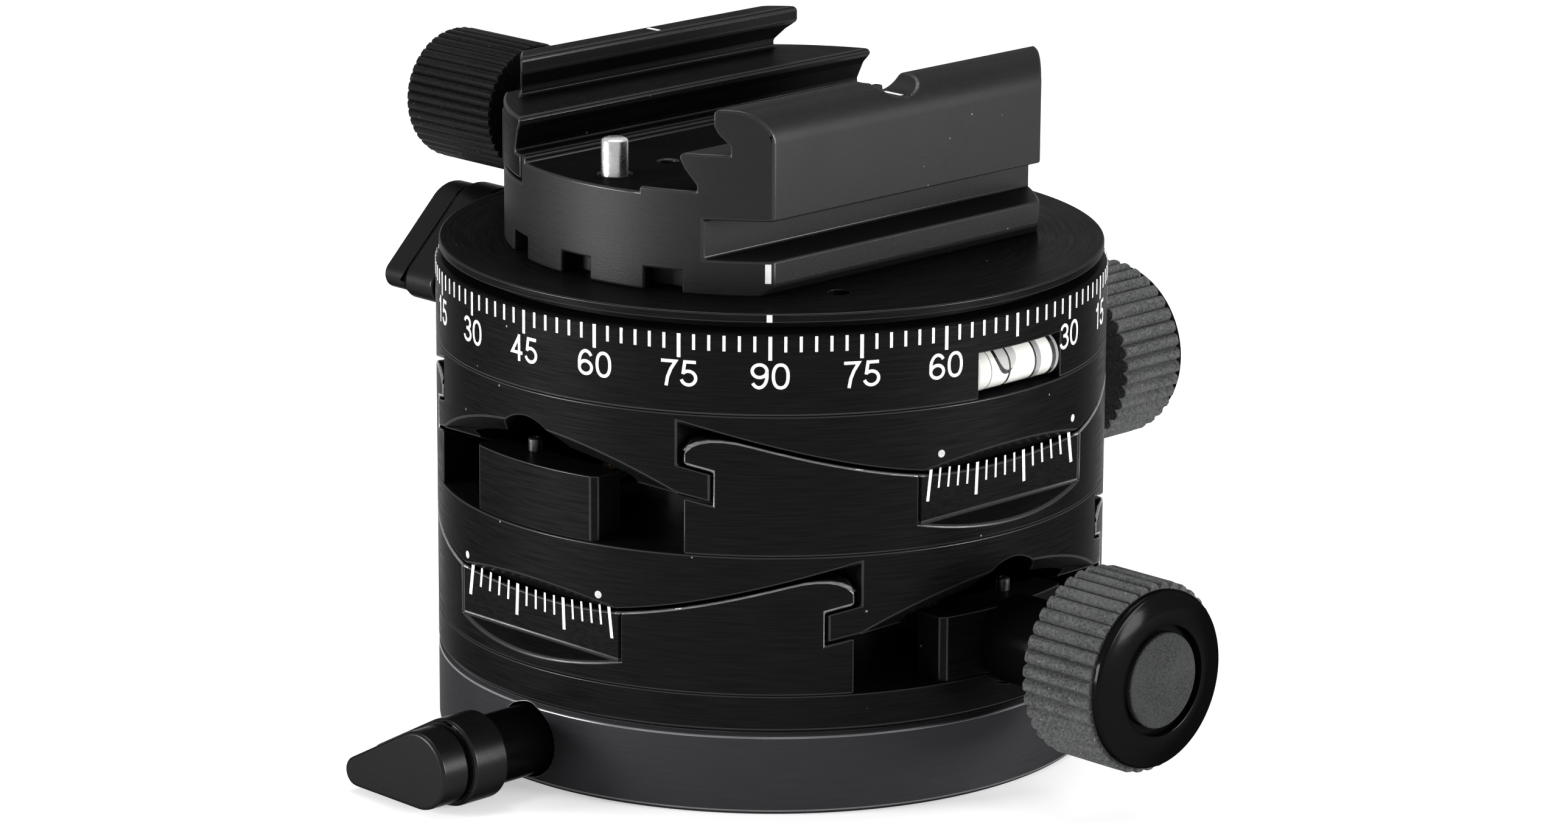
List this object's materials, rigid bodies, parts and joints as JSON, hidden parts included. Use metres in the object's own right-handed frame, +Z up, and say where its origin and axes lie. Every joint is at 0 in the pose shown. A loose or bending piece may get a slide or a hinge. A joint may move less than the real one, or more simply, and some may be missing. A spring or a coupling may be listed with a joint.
{
  "type": "leveling head",
  "caption": "Panning camera leveling head with two geared tilt stages at right angles, lock levers, a pan scale with a spirit level, and a dovetail clamp.",
  "frame": {"origin": "pan axis at the underside of the base disc", "axes": "+Z up along the pan axis, +Y along the clamp's channel, +X to the fixed jaw and the lower tilt knob"},
  "size_m": [0.113, 0.113, 0.076],
  "materials": {
    "black_anodised": "black anodised, fine turned",
    "satin_black": "black anodised, bead blasted",
    "gloss_black": "gloss black",
    "grip_rubber": "matte ribbed",
    "brass": "turned",
    "steel": "polished",
    "knob_cap": "granular",
    "level_glass": "clear, with pale liquid"
  },
  "bodies": {
    "base": {"base_disc": "black_anodised", "tripod_bush": "steel", "base_lock_shoe": "brass"},
    "base_lever": {"base_lock_shaft": "gloss_black", "base_lock_lever": "satin_black"},
    "turntable": {"ring_plate": "black_anodised", "lower_plate_near": "black_anodised", "lower_plate_far": "black_anodised", "lower_plate_screw_1": "steel", "lower_plate_screw_2": "steel", "lower_plate_screw_3": "steel", "lower_plate_screw_4": "steel", "lower_knob_block": "black_anodised", "lower_face_block": "satin_black", "lower_knob_block_grub": "steel", "lower_face_block_grub": "steel", "lower_worm_bush": "brass", "lower_worm_cradle": "steel"},
    "lower_knob": {"lower_worm": "steel", "lower_knob_hub": "gloss_black", "lower_knob_grip": "grip_rubber", "lower_knob_cap": "knob_cap"},
    "lower_stage": {"lower_carriage": "black_anodised", "lower_rack": "brass", "upper_plate_near": "black_anodised", "upper_plate_far": "black_anodised", "upper_plate_screw_1": "steel", "upper_plate_screw_2": "steel", "upper_plate_screw_3": "steel", "upper_plate_screw_4": "steel", "upper_knob_block": "black_anodised", "upper_face_block": "satin_black", "upper_knob_block_grub": "steel", "upper_face_block_grub": "steel", "upper_worm_bush": "brass", "upper_worm_cradle": "steel"},
    "upper_knob": {"upper_worm": "steel", "upper_knob_hub": "gloss_black", "upper_knob_grip": "grip_rubber", "upper_knob_cap": "knob_cap"},
    "upper_stage": {"upper_carriage": "black_anodised", "upper_rack": "brass", "scale_ring": "black_anodised", "level_vial": "level_glass", "pan_lock_shoe": "brass"},
    "pan_lever": {"pan_lock_shaft": "gloss_black", "pan_lock_lever": "satin_black"},
    "pan_top": {"top_disc": "black_anodised", "clamp_base": "satin_black", "clamp_bolt": "steel", "stop_pin_spring": "steel"},
    "jaw": {"movable_jaw": "satin_black", "guide_rod_near": "steel", "guide_rod_far": "steel"},
    "clamp_knob": {"clamp_screw": "steel", "clamp_knob_core": "gloss_black", "clamp_knob_grip": "grip_rubber"},
    "stop_pin": {"stop_pin": "steel"}
  },
  "joints": [
    {"name": "base_lever_turn", "type": "hinge", "parent": "base", "child": "base_lever", "pos_m": [0, -0.045, 0.0049], "axis": [0, 1, 0], "range_deg": [0, 90]},
    {"name": "base_pan", "type": "hinge", "parent": "base", "child": "turntable", "pos_m": [0, 0, 0.0093], "axis": [0, 0, 1], "range_deg": [-65, 235]},
    {"name": "lower_tilt", "type": "hinge", "parent": "turntable", "child": "lower_stage", "pos_m": [0, 0, 0.09995], "axis": [0, 1, 0], "range_deg": [-10, 10]},
    {"name": "lower_knob_turn", "type": "hinge", "parent": "turntable", "child": "lower_knob", "pos_m": [0, 0, 0.01695], "axis": [1, 0, 0], "range_deg": [-1210, 1210]},
    {"name": "upper_tilt", "type": "hinge", "parent": "lower_stage", "child": "upper_stage", "pos_m": [0, 0, 0.1155], "axis": [1, 0, 0], "range_deg": [-10, 10]},
    {"name": "upper_knob_turn", "type": "hinge", "parent": "lower_stage", "child": "upper_knob", "pos_m": [0, 0, 0.0325], "axis": [0, 1, 0], "range_deg": [-1210, 1210]},
    {"name": "pan_lever_turn", "type": "hinge", "parent": "upper_stage", "child": "pan_lever", "pos_m": [-0.045, 0, 0.0485], "axis": [1, 0, 0], "range_deg": [0, 120]},
    {"name": "top_pan", "type": "hinge", "parent": "upper_stage", "child": "pan_top", "pos_m": [0, 0, 0.0557], "axis": [0, 0, 1], "continuous": true},
    {"name": "jaw_slide", "type": "slide", "parent": "pan_top", "child": "jaw", "axis": [-1, 0, 0], "range_m": [0, 0.0035]},
    {"name": "clamp_knob_turn", "type": "hinge", "parent": "jaw", "child": "clamp_knob", "pos_m": [0, 0, 0.0637], "axis": [-1, 0, 0], "range_deg": [0, 1265]},
    {"name": "stop_pin_press", "type": "slide", "parent": "pan_top", "child": "stop_pin", "axis": [0, 0, -1], "range_m": [0, 0.004], "stiffness_N_per_m": 200, "deforming": ["stop_pin_spring"]}
  ],
  "couplings": [
    {"joint": "lower_knob_turn", "follows": "lower_tilt", "ratio": 120},
    {"joint": "upper_knob_turn", "follows": "upper_tilt", "ratio": 120},
    {"joint": "clamp_knob_turn", "follows": "jaw_slide", "rad_per_m": 6283.2}
  ]
}
